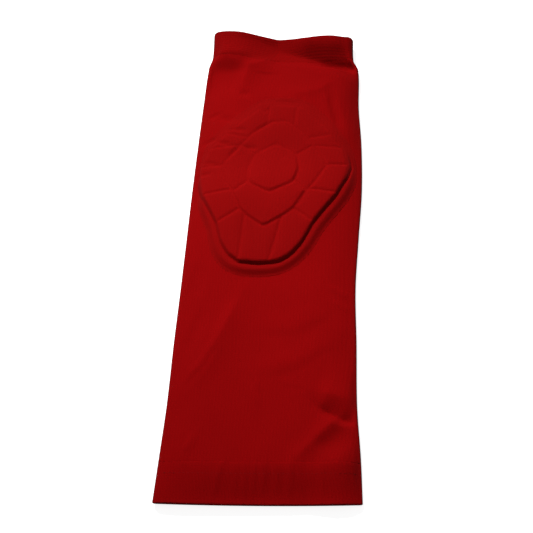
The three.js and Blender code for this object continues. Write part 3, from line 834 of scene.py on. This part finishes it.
def brim_line(blocks, backing):
    """The line on which the outer blocks' walls stand."""
    line = grown(backing, -FLANGE)
    for _ in range(BRIM_ROUNDS):
        deep = np.max([depth_in(line, outline) for _, outline in blocks], axis=0)
        line = softened(grown(line, deep), 1)
    return resampled(line, OUTLINE_GRID)


def flare(flat):
    """How much wider the backing is at a place than around the rest of the pad."""
    away = (flat - PAD_MIDDLE) @ np.array(FLARE_SIDE) / PAD_REACH
    return FLARE * smoothstep(away, FLARE_FROM, FLARE_TO)


def backing_lift(flat, backing):
    """Height of the backing's top: a flat bed with a rim that slopes to the knit."""
    slope = FLANGE_SLOPE + FLARE_SLOPE * flare(flat) + FLANGE_FADE * (1 - pad_share(flat))
    return BASE_EDGE + (BASE_TOP - BASE_EDGE) * smoothstep(depth_in(flat, backing), 0, slope)


def moulded_lift(flat, blocks, brim, backing):
    """Height of the moulded cover above the knit, how deep each point lies in its block, and how far
    it lies past the brim."""
    deep = np.array([depth_in(flat, outline) for _, outline in blocks])
    tops = np.array([top + (flat - outline.mean(0)) @ np.array(lean)
                     for (top, *lean), outline in blocks])
    inner = deep.max(0)
    shares = smoothstep(deep - inner, -2 * STEP, 0)
    inner = np.maximum(inner, 0)
    share = pad_share(flat)
    plateau = share * (shares * tops).sum(0) / shares.sum(0)
    plateau = plateau + SWELL * (1 - np.exp(-inner / SWELL_REACH))
    groove = GROOVE_DEPTH * (1 - GROOVE_LESS * (1 - smoothstep(share, SUNK, GROOVE_FULL)))
    plateau = plateau - groove * (1 - smoothstep(inner, 0, SHOULDER))
    bed = BASE_EDGE + share * (backing_lift(flat, backing) - BASE_EDGE)
    past = -depth_in(flat, brim)
    foot = WALL_RUN + WALL_FADE * (1 - share)
    wall = 1 - smoothstep(past, -WALL_ROUND, foot)
    depth = MOAT * smoothstep(share, *MOAT_RISE) * (1 - MOAT_LESS * smoothstep(share, *MOAT_FALL))
    moat = depth * bump((past - foot - MOAT_OUT) / MOAT_HALF)
    return np.maximum(bed + (plateau - bed) * wall - moat, BASE_EDGE), inner, past


def closed_cover(name, upper, upper_faces, lower, lower_faces, rim, rub, material):
    """Upper and lower faces over one outline, joined round their rim."""
    count = len(upper)
    under = [tuple(count + i for i in reversed(face)) for face in lower_faces]
    walls = [(i, count + i, count + (i + 1) % rim, (i + 1) % rim) for i in range(rim)]
    rub = np.concatenate([rub, np.zeros(len(lower))])
    return mesh_piece(name, np.vstack([upper, lower]), upper_faces + under + walls, material, rub)


def inflated(points, faces, held):
    """The cover's points after the foam has pushed the knit out: cloth under pressure, which stays
    where held is true."""
    mesh = bpy.data.meshes.new("cover_trial")
    mesh.from_pydata((points * MM).tolist(), [], faces)
    trial = bpy.data.objects.new("cover_trial", mesh)
    scene = bpy.context.scene
    scene.collection.objects.link(trial)
    pins = trial.vertex_groups.new(name="held")
    pins.add(np.flatnonzero(held).tolist(), 1.0, "REPLACE")
    settings = trial.modifiers.new("swell", "CLOTH").settings
    settings.vertex_group_mass = "held"
    settings.mass = CLOTH_MASS
    settings.use_pressure = True
    settings.uniform_pressure_force = CLOTH_PRESSURE
    settings.effector_weights.gravity = 0
    for number in range(1, CLOTH_FRAMES + 1):
        scene.frame_set(number)
    solved = trial.evaluated_get(bpy.context.evaluated_depsgraph_get()).data
    moved = np.empty(3 * len(points))
    solved.vertices.foreach_get("co", moved)
    moved = moved.reshape(-1, 3) / MM - points
    scene.frame_set(1)
    bpy.data.objects.remove(trial)
    bpy.data.meshes.remove(mesh)
    far = np.linalg.norm(moved, axis=1)
    return points + moved * np.minimum(1, CLOTH_CAP / np.maximum(far, 1e-9))[:, None]


def build_tube():
    jersey = dyed_jersey_knit()
    elastic = elastic_band_knit()
    band_start = LENGTH - FOREARM_BAND
    hem_profile = wall_profile(0, UPPER_ARM_BAND, HEM_WALL, HEM_GRID, HEM_WALL / 2, SEAM_ROUND)
    body_profile = wall_profile(UPPER_ARM_BAND + SEAM_GAP, band_start - SEAM_GAP, KNIT_WALL, KNIT_GRID,
                                KNIT_ROUND, KNIT_ROUND)
    band_profile = wall_profile(band_start, LENGTH, BAND_WALL, BAND_GRID, BAND_ROUND, BAND_WALL / 2)
    hem = tube_piece("upper_arm_hem", hem_profile, HEM_STEP, jersey)
    body = tube_piece("sleeve_knit", body_profile, 0, jersey)
    band = tube_piece("forearm_elastic", band_profile, BAND_STEP, elastic)
    stitches = stitch_row("hem_stitches", spun_sewing_thread())
    for piece, cad_node, slot_name in ((hem, "upper_arm_band", "band_knit"),
                                       (body, "sleeve_body", "body_knit"),
                                       (band, "forearm_band", "band_knit")):
        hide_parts(cad_node)


def build_pad():
    """The pad is one knit cover, moulded over the backing and the foam blocks."""
    backing = softened(resampled(wall_outline("pad_base"), OUTLINE_GRID), BACKING_ROUNDS)
    backing = grown(backing, flare(backing))
    blocks = pad_blocks()
    brim = brim_line(blocks, backing)
    flat, faces = filled(backing, COVER_GRID, brim)
    lift, inner, past = moulded_lift(flat, blocks, brim, backing)
    under, under_faces = filled(backing, UNDER_GRID)
    upper = np.column_stack([flat, surface_height(flat) + lift])
    upper = inflated(upper, faces, (inner < PINNED) | (past > -WALL_PINNED))
    lower = np.column_stack([under, surface_height(under) + BASE_UNDER])
    rub = np.where(past < 0, np.exp(-((inner - RUB_IN) / RUB_HALF) ** 2), 0)
    cover = closed_cover("pad_cover", upper, faces, lower, under_faces, len(backing), rub,
                         foam_bonded_knit())
    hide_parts(*[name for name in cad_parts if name.startswith("pad_")])


# Table, light and camera

TABLE_HALF = 3.0  # metres
TABLE_DROP = 0.2  # how far the table lies below the sleeve, so that the two don't flicker
SOFTBOX = {"place": (-0.535, 0.937, 1.199), "aim": (0.0, 0.01, 0.01), "size": 0.22, "power": 0.60,
           "spread": 25}
OVERHEAD_FILL = {"place": (0.1, -0.1, 1.4), "aim": (0.0, 0.0, 0.0), "size": 0.9, "power": 0.5,
                 "spread": 180}
WORLD_STRENGTH = 0.12
# The photograph's view: from the wide end, 60 degrees above the table
CAMERA_AZIMUTH = 3.31
CAMERA_ELEVATION = 60.0
CAMERA_DISTANCE = 0.8
CAMERA_AIM = (-3.80, -8.75, 0)
CAMERA_LENS = 89.6
CAMERA_SENSOR = 36


def build_stage():
    """A pale table. It throws no light back on the sleeve, whose lower edges are dark in the photo."""
    half = TABLE_HALF
    mesh = bpy.data.meshes.new("table_top")
    corners = [(-half, -half, 0), (half, -half, 0), (half, half, 0), (-half, half, 0)]
    mesh.from_pydata(corners, [], [(0, 1, 2, 3)])
    mesh.materials.append(lit_acrylic_table())
    table = bpy.data.objects.new("table_top", mesh)
    table.location.z = -TABLE_DROP * MM
    bpy.context.scene.collection.objects.link(table)
    table.visible_diffuse = False


def area_light(name, place, aim, size, power, spread):
    """A round lamp that points at a place. Metres, watts and degrees."""
    data = bpy.data.lights.new(name, "AREA")
    data.shape = "DISK"
    data.size = size
    data.energy = power
    data.spread = math.radians(spread)
    light = bpy.data.objects.new(name, data)
    light.location = place
    light.rotation_euler = (Vector(aim) - Vector(place)).to_track_quat("-Z", "Y").to_euler()
    bpy.context.scene.collection.objects.link(light)


def build_light():
    area_light("softbox", **SOFTBOX)
    area_light("overhead_fill", **OVERHEAD_FILL)
    world = bpy.data.worlds.new("studio")
    world.use_nodes = True
    background = world.node_tree.nodes["Background"]
    background.inputs["Color"].default_value = linear("#ffffff")
    background.inputs["Strength"].default_value = WORLD_STRENGTH
    bpy.context.scene.world = world


def build_camera():
    azimuth = math.radians(CAMERA_AZIMUTH)
    elevation = math.radians(CAMERA_ELEVATION)
    back = Vector((math.sin(azimuth) * math.cos(elevation), -math.cos(azimuth) * math.cos(elevation),
                   math.sin(elevation)))
    data = bpy.data.cameras.new("photo_camera")
    data.sensor_width = CAMERA_SENSOR
    data.lens = CAMERA_LENS
    camera = bpy.data.objects.new("photo_camera", data)
    camera.location = Vector(CAMERA_AIM) * MM + CAMERA_DISTANCE * back
    camera.rotation_euler = (-back).to_track_quat("-Z", "Y").to_euler()
    bpy.context.scene.collection.objects.link(camera)
    bpy.context.scene.camera = camera


bpy.context.scene.view_settings.view_transform = "Standard"
build_camera()
build_tube()
build_pad()
build_stage()
build_light()
